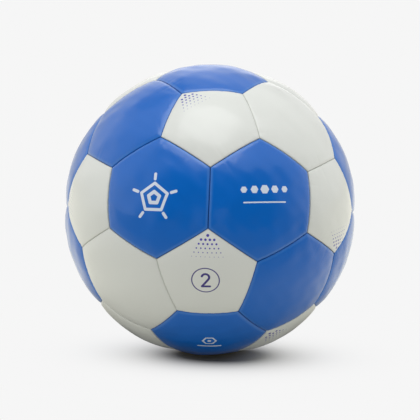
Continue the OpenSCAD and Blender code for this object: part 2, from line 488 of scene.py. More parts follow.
# Corners whose pull is known: the corner's direction, then mm east and north.
settled_corners = {
    (0.0, -0.84, 0.54): (0.11, -0.05), (0.0, -0.99, 0.16): (-0.55, -0.51),
    (-0.33, -0.65, 0.68): (-0.75, 0.64), (0.33, -0.65, 0.68): (0.35, 1.05),
    (-0.2, -0.35, 0.91): (-0.06, -0.04), (0.2, -0.35, 0.91): (0.84, 0.69),
    (-0.65, -0.61, 0.45): (-1.33, 0.49), (-0.65, -0.75, 0.07): (-1.92, 0.13),
    (-0.33, -0.94, -0.07): (-1.69, -0.42), (0.65, -0.61, 0.45): (0.61, 0.55),
    (0.65, -0.75, 0.07): (0.69, -0.10), (0.33, -0.94, -0.07): (-0.22, -0.76),
    (-0.2, -0.87, -0.45): (-0.41, -0.69), (0.2, -0.87, -0.45): (0.36, -0.36),
    (-0.4, 0.0, 0.91): (-1.76, 1.14), (-0.85, -0.26, 0.45): (1.00, 1.03),
    (-0.85, -0.49, -0.16): (-1.33, 1.52), (-0.4, -0.61, -0.68): (1.47, 0.16),
    (0.4, 0.0, 0.91): (0.94, 1.66), (0.85, -0.26, 0.45): (-0.14, 1.21),
    (0.85, -0.49, -0.16): (0.17, 1.18), (0.4, -0.61, -0.68): (0.00, 0.39),
}


def bells(directions):
    """How strongly each corner's bell curve is felt in each direction: one at the
    corner, falling with the square of the gap over the reach."""
    gap_squared = 2 - 2 * directions @ seam_corners.T
    return np.exp(-gap_squared / pull_reach**2)


def corner_pulls():
    """The pull at each corner as an arrow: east times one number, north times another."""
    rng = np.random.default_rng(pull_seed)
    pulls = rng.normal(size=(len(seam_corners), 3)) * loose_pull
    for place, (eastward, northward) in settled_corners.items():
        nearest = int(np.argmax(seam_corners @ np.array(place)))
        east, north = compass(seam_corners[nearest])
        pulls[nearest] = (eastward * east + northward * north) * mm
    return pulls


pulls = corner_pulls()
pull_weights = np.linalg.solve(bells(seam_corners), pulls)


def settled(directions):
    """Directions after the pull: the arrow is added along the surface. It fades out
    towards the valve, whose hole stays where the valve is."""
    flat = directions.reshape(-1, 3)
    fade = np.linalg.norm(flat - valve_axis, axis=1) / valve_calm - valve_still
    fade = np.clip(fade, 0, 1)[:, None]
    pulled = unit(flat + fade * (bells(flat) @ pull_weights) / ball_r)
    return pulled.reshape(directions.shape)


print("largest pull in mm:", round(float(np.linalg.norm(pulls, axis=1).max()) / mm, 2))

# %% [markdown]
# ## The shape of a panel
#
# A panel is a closed skin. Its face is domed, rolls over at the seams and goes
# down between the panels. Seen from the middle of the ball, a panel is a flat
# polygon whose sides are straight, so rows of points are copies of its outline,
# made smaller step by step. Towards the middle the rows turn into circles.

# %% Grid over a panel
all_straight, all_round = 0.55, 0.10
corner_softness = 8.0
least_depth = 0.01 * mm


def outline(panel, per_side):
    """Points evenly along the sides of the panel, on the plane that touches the ball
    at the panel's middle. One unit of length there is the ball's radius."""
    share = (np.arange(per_side) / per_side)[:, None]
    flat = panel.corners / (panel.corners @ panel.middle)[:, None] - panel.middle
    ends = np.roll(flat, -1, axis=0)
    sides = flat[:, None] * (1 - share) + ends[:, None] * share
    return sides.reshape(-1, 3)


def panel_rows(panel, depths, per_side):
    """Directions of a grid over a panel, one row for each depth inside the seam. A row
    is the outline times the tangent of the angle that is left, over the whole one.
    In the inner half the rows blend into circles."""
    edge = outline(panel, per_side)
    reach = np.tan(panel.flat_angle)
    scale = np.tan(panel.flat_angle - depths / ball_r) / reach
    turn = np.clip((all_straight - scale) / (all_straight - all_round), 0, 1)[:, None, None]
    turn = turn * turn * (3 - 2 * turn)
    around = unit(edge)[None] * reach
    rows = (edge[None] * (1 - turn) + around * turn) * scale[:, None, None]
    return unit(rows + panel.middle)


def seam_depths(panel, directions):
    """How far inside each of the panel's seams a direction lies, along the surface."""
    return ball_r * np.arcsin(np.clip(directions @ panel.edge_normals.T, -1, 1))


def nearest_depth(panel, directions):
    """A soft minimum of the depths over the sides: the eighth power mean, which rounds
    the corners."""
    safe = np.maximum(seam_depths(panel, directions), least_depth)
    return (safe**-corner_softness).sum(axis=-1) ** (-1 / corner_softness)


print("outline points:", outline(panels[0], 4).shape)

# %% [markdown]
# ## Dome, rolled edge, puckers and swells
#
# Four things shape the face. The dome is a ball of a smaller radius than the
# whole ball. The rolled edge is a quarter of an ellipse, and it is broader on the
# blue panels. At each stitch the leather is drawn in, which leaves short creases
# square to the seam. The foam under the skin is never quite even, so the whole
# face swells a little, the white ones less than the blue.

# %% Parts of the face
blue_roll, white_roll = (2.6 * mm, 0.7 * mm), (1.3 * mm, 0.36 * mm)
shoulder_width, shoulder_depth = 9.0 * mm, 0.35 * mm
wide_size, wide_unevenness, wide_seed = 26 * mm, 0.15 * mm, 3
fine_size, fine_seed = 11 * mm, 5
blue_unevenness, white_unevenness = 0.10 * mm, 0.05 * mm
calm_width, calm_share = 6 * mm, 0.4
wave_sizes = (0.7, 1.5)


def dome_radius(panel, directions):
    """Distance from the ball's middle to the dome. The dome's own centre lies on the
    panel's axis, so this is the longer answer of a quadratic."""
    s = ball_r - corner_sink
    half = s * np.sin(panel.corner_angle)
    rise = ball_r - s * np.cos(panel.corner_angle)
    own_r = (half**2 + rise**2) / (2 * rise)
    centre = ball_r - own_r
    along = centre * (directions @ panel.middle)
    return along + np.sqrt(along**2 - centre**2 + own_r**2)


def rolled(depth, width, fall):
    """Fall of a rolled edge: a quarter ellipse, upright at the seam and level inside."""
    left = 1 - np.clip(depth / width, 0, 1)
    return fall * (1 - np.sqrt(1 - left**2))


def swell(points, size, seed, waves=14):
    """A smooth unevenness between about -1 and 1: the sum of plane waves of about one
    size, each with its own direction and phase."""
    rng = np.random.default_rng(seed)
    ways = unit(rng.normal(size=(waves, 3)))
    steps = 2 * np.pi / (size * rng.uniform(*wave_sizes, size=(waves, 1)))
    phases = rng.uniform(0, 2 * np.pi, waves)
    return np.sin(points @ (ways * steps).T + phases).sum(axis=-1) / np.sqrt(waves)


print("a roll's fall in mm, from the seam inwards:",
      np.round(rolled(np.linspace(0, blue_roll[0], 4), *blue_roll) / mm, 2))

# %% Puckers at the stitches
stitch_pitch = 4.6 * mm
stitches_each_way = 4
stitch_scatter = 0.16
pucker_depth = 0.22 * mm
pucker_shares, pucker_power = (0.15, 1.0), 1.5
pucker_widths, pucker_lengths = (0.45, 1.0), (1.3, 4.5)
seam_key, back_key, way_key = [91.0, 733.0, 5077.0], 7, [1.0, 2.0, 3.0]


def seam_number(corner, next_corner):
    """A number for a seam that is the same from both of its panels: the middle of the
    seam times a key, in whole numbers, and a little more on the back of the ball."""
    middle = unit(corner + next_corner)
    return int(abs(np.round(middle @ seam_key, 0))) + (back_key if middle[1] > 0 else 0)


def puckers(panel, directions):
    """How far the stitches draw the leather in: for each seam and stitch, a bell across
    the crease times a fall away from the seam. Sizes vary from stitch to stitch."""
    depths = seam_depths(panel, directions)
    total = np.zeros(directions.shape[:-1])
    for side in range(panel.sides):
        ends = panel.corners[side], panel.next_corners[side]
        middle, way = unit(ends[0] + ends[1]), unit(ends[1] - ends[0])
        way = way if way @ way_key > 0 else -way
        along = ball_r * np.arctan2(directions @ way, directions @ middle)
        rng = np.random.default_rng(seam_number(*ends))
        numbers = np.arange(-stitches_each_way, stitches_each_way + 1)
        places = (numbers + rng.normal(0, stitch_scatter, numbers.size)) * stitch_pitch
        deep = rng.uniform(*pucker_shares, places.size) ** pucker_power * pucker_depth
        wide = rng.uniform(*pucker_widths, places.size) * mm
        long = rng.uniform(*pucker_lengths, places.size) * mm
        bell = np.exp(-(((along[..., None] - places) / wide) ** 2))
        fade = np.exp(-np.maximum(depths[..., side], 0)[..., None] / long)
        total += (bell * fade * deep).sum(axis=-1)
    return total


def face_radius(panel, directions):
    """Distance from the ball's middle to the leather's face: the dome, less the rolled
    edge, a wide low shoulder and the puckers, plus the unevenness, calmer at the edge."""
    depth = nearest_depth(panel, directions) - skin_inset
    places = directions * ball_r
    fine_unevenness = white_unevenness if panel.white else blue_unevenness
    uneven = wide_unevenness * swell(places, wide_size, wide_seed)
    uneven = uneven + fine_unevenness * swell(places, fine_size, fine_seed)
    inside = np.clip(depth / calm_width, 0, 1)
    return (
        dome_radius(panel, directions)
        - rolled(depth, *(white_roll if panel.white else blue_roll))
        - shoulder_depth * (1 - np.clip(depth / shoulder_width, 0, 1)) ** 2
        - puckers(panel, directions)
        + uneven * (calm_share + (1 - calm_share) * inside)
    )


sample = face_radius(panels[0], panels[0].middle[None, None])
print("face at the middle of a panel in mm:", np.round(sample / mm, 2))

# %% [markdown]
# ## From rows of points to a mesh
#
# Each piece below is a stack of closed rows. Four-sided faces join each row to
# the next. At the ends of the stack a fan of triangles closes the shell round a
# last point, or, where there is a hole, the last row is joined to the first.


# %% Shells and meshes
def shell(rows, tips=None, facts=None):
    """A closed shell from rows (rows, around, 3). tips are the two points that close
    its ends; without them the last row joins the first. facts are values for each
    point of the rows, carried along as attributes."""
    count, around = rows.shape[:2]
    index = np.arange(count * around).reshape(count, around)
    lower = index if tips is None else index[:-1]
    upper = np.roll(index, -1, axis=0) if tips is None else index[1:]
    quads = np.stack(
        [lower, np.roll(lower, -1, axis=1), np.roll(upper, -1, axis=1), upper], axis=-1
    ).reshape(-1, 4)
    points, triangles = rows.reshape(-1, 3), np.empty((0, 3), int)
    facts = {k: v.reshape(count * around, -1) for k, v in (facts or {}).items()}
    if tips is not None:
        first, last = index[0], index[-1]
        start, end = count * around, count * around + 1
        fan_a = np.stack([np.roll(first, -1), first, np.full(around, start)], axis=-1)
        fan_b = np.stack([last, np.roll(last, -1), np.full(around, end)], axis=-1)
        triangles = np.concatenate([fan_a, fan_b])
        points = np.concatenate([points, np.asarray(tips)])
        facts = {
            k: np.concatenate([v, v[:around].mean(0)[None], v[-around:].mean(0)[None]])
            for k, v in facts.items()
        }
    return points, quads, triangles, facts


def enclosed(points, quads, triangles):
    """The volume inside a closed mesh: the sum of a sixth of each triangle's triple
    product. It is negative where the faces point inwards."""
    cut = np.concatenate([triangles, quads[:, [0, 1, 2]], quads[:, [0, 2, 3]]])
    a, b, c = points[cut[:, 0]], points[cut[:, 1]], points[cut[:, 2]]
    return float((a * np.cross(b, c)).sum() / 6)


def piece_of(name, shells):
    """One object from closed shells, all with their faces outwards."""
    points, quads, triangles, facts, base = [], [], [], {}, 0
    for p, q, t, f in shells:
        if enclosed(p, q, t) < 0:
            q, t = q[:, ::-1], t[:, ::-1]
        points.append(p)
        quads.append(q + base)
        triangles.append(t + base)
        for key, value in f.items():
            facts.setdefault(key, []).append(value)
        base += len(p)
    points, quads, triangles = (np.concatenate(x) for x in (points, quads, triangles))
    mesh = bpy.data.meshes.new(name)
    mesh.vertices.add(len(points))
    mesh.vertices.foreach_set("co", points.astype(np.float32).ravel())
    corners = np.concatenate([quads.ravel(), triangles.ravel()]).astype(np.int32)
    mesh.loops.add(len(corners))
    mesh.loops.foreach_set("vertex_index", corners)
    first_triangle = quads.size
    starts = np.concatenate([
        np.arange(len(quads)) * 4, first_triangle + np.arange(len(triangles)) * 3
    ])
    mesh.polygons.add(len(starts))
    mesh.polygons.foreach_set("loop_start", starts.astype(np.int32))
    mesh.update(calc_edges=True)
    mesh.shade_smooth()
    for key, values in facts.items():
        value = np.concatenate(values).astype(np.float32)
        single = value.shape[1] == 1
        made = mesh.attributes.new(key, "FLOAT" if single else "FLOAT_VECTOR", "POINT")
        made.data.foreach_set("value" if single else "vector", value.ravel())
    return into_scene(name, mesh)


def dress(piece, body, slot, material, *nodes):
    """Gives a piece its material and body, and lets it stand for CAD nodes. The slot is not used.
    """
    piece.data.materials.append(material)
    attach(piece, body)
    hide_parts(*nodes)
    print(piece.name, "faces:", len(piece.data.polygons))


print("a shell is a list of points, quads, triangles and facts")

# %% [markdown]
# ## Leather
#
# Synthetic leather is a smooth coat over a fine grain. It is satin: soft light
# spreads over it, and at a flat angle it shines. A thin clear coat on the shader
# adds a sharper gleam. Two node groups make the rest of its surface: the grain,
# and the seam, whose groove is painted darker, as painted shade, and whose rolled
# edge carries a painted highlight along its bead.

# %% Grain and seam groups
pebble_height, fine_height, wave_height = -0.12, 0.10, 1.6
fine_cells = 1.7


def grain_group():
    """Fine cells with soft walls, over a slow waviness. Height is for a Bump node, and
    Tone, the waviness alone, for small changes of colour."""
    group, given, end = group_of(
        "leather grain",
        {"Place": None, "Cell size": 0.7 * mm, "Wave size": 7 * mm},
        ("Height", "Tone"),
    )
    place = given["Place"]
    cells = maths(group, "DIVIDE", 1.0, given["Cell size"])
    waves = maths(group, "DIVIDE", 1.0, given["Wave size"])
    keys = {"Vector": place, "Scale": cells, "Smoothness": 0.6, "Randomness": 0.9}
    pebble = add(group, "TexVoronoi", keys, feature="SMOOTH_F1").outputs["Distance"]
    fine = noise(group, place, times(group, cells, fine_cells))
    wave = noise(group, place, waves, detail=1.0, roughness=0.4)
    height = maths(group, "MULTIPLY_ADD", pebble, pebble_height, times(group, fine, fine_height))
    height = maths(group, "MULTIPLY_ADD", wave, wave_height, height)
    fill(group, end, {"Height": height, "Tone": wave})
    return group


def seam_group():
    """How near a point is to the seam. Groove is one in the groove and fades over its
    width; there the leather is painted darker, as painted shade. The second output is
    one on the bead of the rolled edge, where it lays a painted highlight."""
    group, given, end = group_of(
        "painted seam shade and highlight",
        {"Depth": 0.0, "Groove width": 0.6 * mm, "Painted highlight width": 2.4 * mm},
        ("Groove", "Painted highlight"),
    )
    depth, groove_width, painted_highlight_width = (given[k] for k in ("Depth", "Groove width", "Painted highlight width"))
    # Painted shade: one in the groove, where the leather is painted darker.
    groove = spread(group, depth, 0.0, groove_width, 1.0, 0.0, True)
    # Painted highlight: one on the bead of the rolled edge, outside the groove.
    painted_highlight = spread(group, depth, groove_width, painted_highlight_width, 1.0, 0.0, True)
    fill(group, end, {"Groove": groove, "Painted highlight": times(group, painted_highlight, minus(group, 1.0, groove))})
    return group


leather_grain, painted_seam_light = grain_group(), seam_group()
print("groups:", [g.name for g in bpy.data.node_groups])

# %% [markdown]
# ## Printing on the leather
#
# Some panels carry a plain print. Each panel has its own flat map, in metres
# from its middle, kept with its points. Marks are drawn on that map from simple
# shapes, each a node group that puts out a mask: a stroke between two points, a
# ring, a hexagon, and a field of dots that shrink away from a corner.

# %% Groups for printed shapes
ink_edge = 0.12 * mm
slanted_way = (0.866025, 0.5, 0)


def inked(tree, gap, half_width):
    """One inside the half width, none outside, with an edge as soft as ink on leather."""
    low = minus(tree, half_width, ink_edge)
    high = maths(tree, "ADD", half_width, ink_edge)
    return spread(tree, gap, low, high, 1.0, 0.0, True)


def line_group(name, inputs, gap_of):
    """A shape drawn with a line: gap_of says how far a place is from the line's middle,
    and what is nearer than half the line's width is inked."""
    group, given, end = group_of(name, {"Place": None, **inputs, "Half width": mm}, ("Mask",))
    gap = gap_of(group, *(given[key] for key in ("Place", *inputs)))
    fill(group, end, {"Mask": inked(group, gap, given["Half width"])})
    return group


def stroke_gap(tree, place, start, stop):
    """A line with round ends. The nearest point on it is the start plus a share of the
    way, and the share is cut to between none and one."""
    way = vectors(tree, "SUBTRACT", stop, start)
    gone = vectors(tree, "SUBTRACT", place, start)
    whole = vectors(tree, "DOT_PRODUCT", way, way)
    share = maths(tree, "DIVIDE", vectors(tree, "DOT_PRODUCT", gone, way), whole)
    share = add(tree, "Clamp", {"Value": share}).outputs[0]
    along = add(tree, "VectorMath", {0: way, "Scale": share}, operation="SCALE").outputs[0]
    return vectors(tree, "DISTANCE", gone, along)


def ring_gap(tree, place, centre, radius):
    """A circle's line: how far the distance from the centre differs from the radius. A
    radius of none gives a dot."""
    out = vectors(tree, "DISTANCE", place, centre)
    return maths(tree, "ABSOLUTE", minus(tree, out, radius))


def hexagon_gap(tree, place, centre, radius):
    """The line of a hexagon that stands on a flat side. The greater of two distances,
    upward and along the slanted side, grows in hexagons."""
    off = vectors(tree, "ABSOLUTE", vectors(tree, "SUBTRACT", place, centre))
    upward = vectors(tree, "DOT_PRODUCT", off, (0, 1, 0))
    slanted = vectors(tree, "DOT_PRODUCT", off, slanted_way)
    out = maths(tree, "MAXIMUM", upward, slanted)
    return maths(tree, "ABSOLUTE", minus(tree, out, radius))


stroke = line_group("printed stroke", {"From": None, "To": None}, stroke_gap)
ring = line_group("printed ring", {"Centre": None, "Radius": mm}, ring_gap)
hexagon_line = line_group("printed hexagon", {"Centre": None, "Radius": mm}, hexagon_gap)
print("printed shapes ready")

# %% Group for fading dots
first_dot, dot_fall = 0.42, 0.36
dot_wedge = 0.62


def dots_group():
    """Dots in rows that start in a corner and shrink away from it. The place is split
    into square cells, every other row moved by half a cell, and each dot's radius
    falls with its row's distance. Only cells near the corner's own line are kept."""
    group, given, end = group_of(
        "printed dots", {"Place": None, "Pitch": 2 * mm, "Reach": 10 * mm}, ("Mask",)
    )
    pitch, reach = given["Pitch"], given["Reach"]
    parts = add(group, "SeparateXYZ", {0: given["Place"]}).outputs
    along, across = (maths(group, "DIVIDE", parts[k], pitch) for k in (0, 1))
    row = maths(group, "FLOOR", along)
    odd = times(group, maths(group, "FLOORED_MODULO", row, 2.0), 0.5)
    across = maths(group, "ADD", across, odd)
    in_row, in_place = (minus(group, maths(group, "FRACT", x), 0.5) for x in (along, across))
    cell = add(group, "CombineXYZ", {0: in_row, 1: in_place}).outputs[0]
    gap = times(group, vectors(group, "LENGTH", cell), pitch)
    centre = maths(group, "ADD", row, 0.5)
    far = maths(group, "DIVIDE", times(group, centre, pitch), reach)
    radius = times(group, maths(group, "MULTIPLY_ADD", far, -dot_fall, first_dot), pitch)
    side = maths(group, "ABSOLUTE", minus(group, minus(group, across, in_place), odd))
    kept = maths(group, "LESS_THAN", side, times(group, centre, dot_wedge))
    kept = times(group, kept, maths(group, "LESS_THAN", far, 1.0))
    kept = times(group, kept, maths(group, "GREATER_THAN", row, 0.5))
    fill(group, end, {"Mask": times(group, inked(group, gap, radius), kept)})
    return group


dots = dots_group()
print("dots ready")


# %% Drawing helpers
def covered(tree, masks):
    """One mask from several: the greatest of them."""
    total = masks[0]
    for mask in masks[1:]:
        total = maths(tree, "MAXIMUM", total, mask)
    return total


def strokes(tree, place, points, half_width):
    """Strokes from each point to the next, in metres on the panel's map."""
    ends = [{"From": (*a, 0), "To": (*b, 0)} for a, b in zip(points[:-1], points[1:])]
    shared = {"Place": place, "Half width": half_width}
    return [place_group(tree, stroke, {**shared, **pair})[0] for pair in ends]


def round_shape(tree, group, place, centre, radius, half_width):
    """A ring or a hexagon round a centre on the panel's map. One without a radius is
    solid, and its half width is its size."""
    keys = {"Place": place, "Centre": (*centre, 0), "Radius": radius, "Half width": half_width}
    return place_group(tree, group, keys)[0]


def circle_points(centre, radius, start, stop, count):
    """Points on a circle from one angle to another, in degrees from the right."""
    angles = np.radians(np.linspace(start, stop, count))
    return np.column_stack([np.cos(angles), np.sin(angles)]) * radius + centre


print("a pentagon has corners at", circle_points((0, 0), 1, 90, 450, 6).round(2).tolist())

# %% [markdown]
# ## The prints
#
# The prints are generic: an outlined pentagon with short rays on one blue panel,
# a row of small hexagons over a thin rule on the next, a hexagon with a dot over
# a bar low down, and the ball's size as a plain numeral in a ring. Each white
# pentagon has a small field of dots in one corner.


# %% Marks drawn from the shapes
def rayed_pentagon(tree, place):
    """A pentagon's outline round a small one, with a ray out from each corner."""
    inner, outer, ray_starts, ray_tips = (
        circle_points((0, 0), radius * mm, 90, 450, 6) for radius in (3.4, 8.2, 10.6, 13.4)
    )
    inner_half, outer_half = 1.0 * mm, 0.85 * mm
    masks = strokes(tree, place, outer, outer_half) + strokes(tree, place, inner, inner_half)
    for ray in zip(ray_starts[:-1], ray_tips[:-1]):
        masks += strokes(tree, place, ray, outer_half)
    return covered(tree, masks)


def hexagon_row(tree, place):
    """Five small solid hexagons in a row over a thin rule. The middle one is largest."""
    pitch, up, largest, shrink = 6.2 * mm, 4.6 * mm, 2.3 * mm, 0.3 * mm
    masks = [
        round_shape(tree, hexagon_line, place, (k * pitch, up), 0.0, largest - shrink * abs(k))
        for k in range(-2, 3)
    ]
    rule = [(-12.5 * mm, -2.6 * mm), (12.5 * mm, -2.6 * mm)]
    return covered(tree, masks + strokes(tree, place, rule, 0.4 * mm))


def ring_and_bar(tree, place):
    """A ring in the form of a hexagon, with a dot in it, over a short bar."""
    centre, bar = (0, 5.0 * mm), [(-6.5 * mm, -2.0 * mm), (6.5 * mm, -2.0 * mm)]
    masks = [
        round_shape(tree, hexagon_line, place, centre, 3.4 * mm, 0.5 * mm),
        round_shape(tree, ring, place, centre, 0.0, 1.1 * mm),
    ]
    return covered(tree, masks + strokes(tree, place, bar, 0.7 * mm))


def size_numeral(tree, place):
    """The numeral two: most of a circle on top, a slanted stroke and a foot, in a ring."""
    top = circle_points((0, 1.9 * mm), 2.05 * mm, 165, -40, 9)
    foot = [tuple(top[-1]), (-2.1 * mm, -4.0 * mm), (2.3 * mm, -4.0 * mm)]
    masks = strokes(tree, place, top, 0.62 * mm) + strokes(tree, place, foot, 0.62 * mm)
    around = round_shape(tree, ring, place, (0, -0.1 * mm), 7.6 * mm, 0.32 * mm)
    return covered(tree, masks + [around])


print("marks:", [f.__name__ for f in (rayed_pentagon, hexagon_row, ring_and_bar, size_numeral)])

# %% Leather material
# Paints of a leather: its face, its groove (painted shade) and its bead (painted highlight).
blue_paints = painted(2, 106, 204), painted(3, 82, 166), painted(84, 142, 218)
white_paints = painted(233, 236, 231), painted(208, 211, 204), painted(230, 233, 228)
white_print_colour = painted(226, 235, 250)
violet_print_colour = painted(74, 66, 176)
numeral_colour = painted(58, 48, 132)
# Shares of the random tone and of the painted highlight on the bead.
tone_share, painted_highlight_share = 0.05, 0.45
dot_pitch, dot_reach = 2.5 * mm, 17 * mm
leather_gloss = {
    "IOR": 1.5, "Specular IOR Level": 0.35, "Coat Weight": 0.5, "Coat Roughness": 0.12
}


def leather(name, paints, mark=None, mark_colour=None, spin=0.0, moved=(0, 0), dotted=False):
    """Synthetic leather with its grain, its seam and what is printed on it. mark draws
    on the panel's map, which is moved and turned first."""
    colour, groove_colour, painted_highlight_colour = paints
    material, tree = start_finish(name)
    place = add(tree, "TexCoord").outputs["Object"]
    grain = place_group(tree, leather_grain, {"Place": place})
    seam_light = place_group(tree, painted_seam_light, {"Depth": attribute(tree, "seam_depth", "Fac")})
    surface = blend(tree, times(tree, grain["Tone"], tone_share), colour, groove_colour)
    # Painted highlight: the bead of the rolled edge is lightened.
    surface = blend(tree, times(tree, seam_light["Painted highlight"], painted_highlight_share), surface, painted_highlight_colour)
    if dotted:
        corner = attribute(tree, "corner_map")
        keys = {"Place": corner, "Pitch": dot_pitch, "Reach": dot_reach}
        surface = blend(tree, place_group(tree, dots, keys)[0], surface, violet_print_colour)
    if mark is not None:
        keys = {
            "Vector": attribute(tree, "panel_map"),
            "Location": (*moved, 0), "Rotation": (0, 0, np.radians(spin)),
        }
        panel_map = add(tree, "Mapping", keys, vector_type="TEXTURE").outputs[0]
        surface = blend(tree, mark(tree, panel_map), surface, mark_colour)
    # Painted shade: the groove is darkened.
    surface = blend(tree, seam_light["Groove"], surface, groove_colour)
    close_finish(
        tree, surface, roughness=0.3, height=grain["Height"], relief=0.02 * mm, strength=0.5,
        more=leather_gloss,
    )
    return material


blue_leather = leather("blue leather", blue_paints)
white_leather = leather("white leather", white_paints)
dotted_leather = leather("white leather with dots", white_paints, dotted=True)
print("leathers:", [m.name for m in bpy.data.materials])

# %% [markdown]
# ## Which panel is which
#
# Each panel made here stands for one CAD panel: the one whose box has its middle
# in the same direction. Four panels carry a print of their own.

# %% Names and prints of the panels
panel_names = [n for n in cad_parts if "_panel_" in n]
box_middles = unit(np.array([np.add(*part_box(n)) for n in panel_names]))
# Each print: the panel's direction, the mark, its colour, its turn in degrees, its move.
printed_panels = [
    ((-0.36, -0.87, 0.33), rayed_pentagon, white_print_colour, 6.0, (0.1 * mm, -0.6 * mm)),
    ((0.36, -0.87, 0.33), hexagon_row, white_print_colour, -4.8, (0.3 * mm, 0.7 * mm)),
    ((0.0, -0.67, -0.75), ring_and_bar, white_print_colour, 0.0, (1.2 * mm, 0.5 * mm)),
    ((0.0, -0.98, -0.19), size_numeral, numeral_colour, 1.6, (-1.0 * mm, 0.0)),
]


def panel_name(panel):
    """The CAD panel whose box lies most nearly in the panel's direction."""
    return panel_names[int(np.argmax(box_middles @ panel.middle))]


def leather_for(panel):
    """The leather of a panel, with its own print if it has one."""
    dotted = panel.sides == 5
    for place, mark, colour, spin, moved in printed_panels:
        if panel.middle @ unit(np.array(place)) > same_way:
            title = mark.__name__.replace("_", " ") + " print"
            paints = white_paints if panel.white else blue_paints
            return leather(title, paints, mark, colour, spin, moved, dotted)
    if dotted:
        return dotted_leather
    return white_leather if panel.white else blue_leather


print("matched:", len({panel_name(p) for p in panels}), "of", len(panel_names))

# %% [markdown]
# ## The valve's hole
#
# One white hexagon at the back has a round hole in its middle for the valve. Its
# rows of points stop at the hole, go down through it and come back underneath,
# so that shell is joined end to end and needs no fan.

# %% Maps over a panel
dot_corner_key = [16.0, 48.0, 61.0]
least_length = 1e-9


def depth_steps(first, last, count, power):
    """Depths inside the seam, close together near it and wider towards the middle."""
    share = (np.arange(count) / count) ** power
    return np.append(first + (last - first) * share, last)


def flat_map(panel, directions, spin=0.0):
    """The panel's own map: distance along the surface from its middle, split into east
    and north, and turned by an angle."""
    east, north = compass(panel.middle)
    out = directions @ panel.middle
    angle = np.arccos(np.clip(out, -1, 1))
    flat = directions - out[..., None] * panel.middle
    size = np.maximum(np.linalg.norm(flat, axis=-1), least_length)
    x, y = (ball_r * angle / size * (flat @ way) for way in (east, north))
    c, s = np.cos(spin), np.sin(spin)
    return np.stack([x * c + y * s, y * c - x * s, np.zeros_like(x)], axis=-1)


def corner_map(panel, directions):
    """A map with its origin in one corner and its first axis towards the middle. Which
    corner it is comes from the panel's direction times a key."""
    chosen = panel.corners[int(abs(panel.middle @ dot_corner_key)) % panel.sides]
    x, y, _ = flat_map(panel, chosen[None])[0]
    from_middle = flat_map(panel, directions, np.arctan2(y, x) + np.pi)
    return from_middle + np.array([np.hypot(x, y), 0, 0])


def end_points(panel, top_r, bottom_r):
    """The two points that close a panel's shell, over and under its middle."""
    return settled(panel.middle[None]) * np.array([[top_r], [bottom_r]])


print("six depths in mm:", np.round(depth_steps(0, 10, 5, 2.0), 1))

# %% Building the panels
neck_hole_r = 4.05 * mm
hole_roll = 0.55 * mm
hole_lip = np.array([0.06, 0.14, 0.24, 0.36, 0.5, 0.7, 1.0, 1.4, 2.0]) * mm
hole_clear = 2.2 * mm
dish_r, dish_depth = 11 * mm, 0.35 * mm
middle_left = 0.25 * mm
per_side, face_steps, wall_steps, under_steps = 44, 42, 5, 9
face_power, under_power = 2.0, 1.6
under_roll = (mm, 0.45 * mm)


def leather_shell(panel):
    """The closed skin of one panel. Rows run from the middle of the face out to the
    seam, down the rolled edge, back along the turned-in rim and over the underside."""
    half = panel.flat_angle * ball_r
    deepest = half - (neck_hole_r if panel.has_valve else middle_left)
    face = depth_steps(skin_inset, deepest, face_steps, face_power)
    if panel.has_valve:
        outside = face[face < deepest - hole_clear]
        face = np.sort(np.concatenate([outside, deepest - hole_lip, [deepest]]))
    face_rows = panel_rows(panel, face, per_side)
    face_r = face_radius(panel, face_rows)
    if panel.has_valve:
        out = np.arccos(np.clip(face_rows @ panel.middle, -1, 1)) * ball_r
        face_r = face_r - rolled(out - neck_hole_r, hole_roll, hole_roll)
        face_r = face_r - dish_depth * np.clip(1 - (out / dish_r) ** 2, 0, 1) ** 2
    rim = face_rows[0]
    wall = np.linspace(0, 1, wall_steps + 1)[1:, None]
    wall_r = face_r[0] * (1 - wall) + rim_r * wall
    under = depth_steps(skin_inset + skin_t, deepest, under_steps, under_power)
    under_rows = panel_rows(panel, under, per_side)
    under_depth = nearest_depth(panel, under_rows) - skin_inset - skin_t
    under_r = dome_radius(panel, under_rows) - skin_t - rolled(under_depth, *under_roll)
    rows = np.concatenate([
        settled(face_rows[::-1]) * face_r[::-1, :, None],
        settled(rim)[None] * wall_r[..., None],
        settled(under_rows[:1]) * rim_r,
        settled(under_rows) * under_r[..., None],
    ])
    rows[..., 2] = np.maximum(rows[..., 2], -ball_r)
    face_depth = nearest_depth(panel, face_rows) - skin_inset
    hidden = np.zeros((wall_steps + 1 + len(under_rows), len(rim)))
    rims = np.repeat(rim[None], wall_steps, axis=0)
    directions = np.concatenate([face_rows[::-1], rims, under_rows[:1], under_rows])
    facts = {
        "seam_depth": np.concatenate([face_depth[::-1], hidden]),
        "panel_map": flat_map(panel, directions),
    }
    if panel.sides == 5:
        facts["corner_map"] = corner_map(panel, directions)
    if panel.has_valve:
        return shell(rows, None, facts)
    ends = end_points(panel, face_radius(panel, panel.middle[None])[0], ball_r - skin_t)
    ends[:, 2] = np.maximum(ends[:, 2], -ball_r)
    return shell(rows, ends, facts)


for panel in panels:
    name = panel_name(panel)
    piece = piece_of(name.replace("_panel_", "_leather_"), [leather_shell(panel)])
    slot = "white_leather" if panel.white else "blue_leather"
    dress(piece, "ball", slot, leather_for(panel), name)

# %% [markdown]
# ## Foam backings
#
# Under each panel's leather lies a piece of foam, cut a little smaller than the
# panel so that the rims can be turned in round it. It is soft, but glued down and
# pressed between leather and lining, so it can't slump: its shape is that of the
# space it fills. Its cut edges are slightly rounded. One object holds the foam of
# all hexagons and one that of all pentagons.

# %% Layers under a panel
layer_per_side, layer_steps = 14, 8
layer_middle_left = 0.5 * mm
edge_shares = np.array([0.0, 0.06, 0.22, 0.5, 1.0])


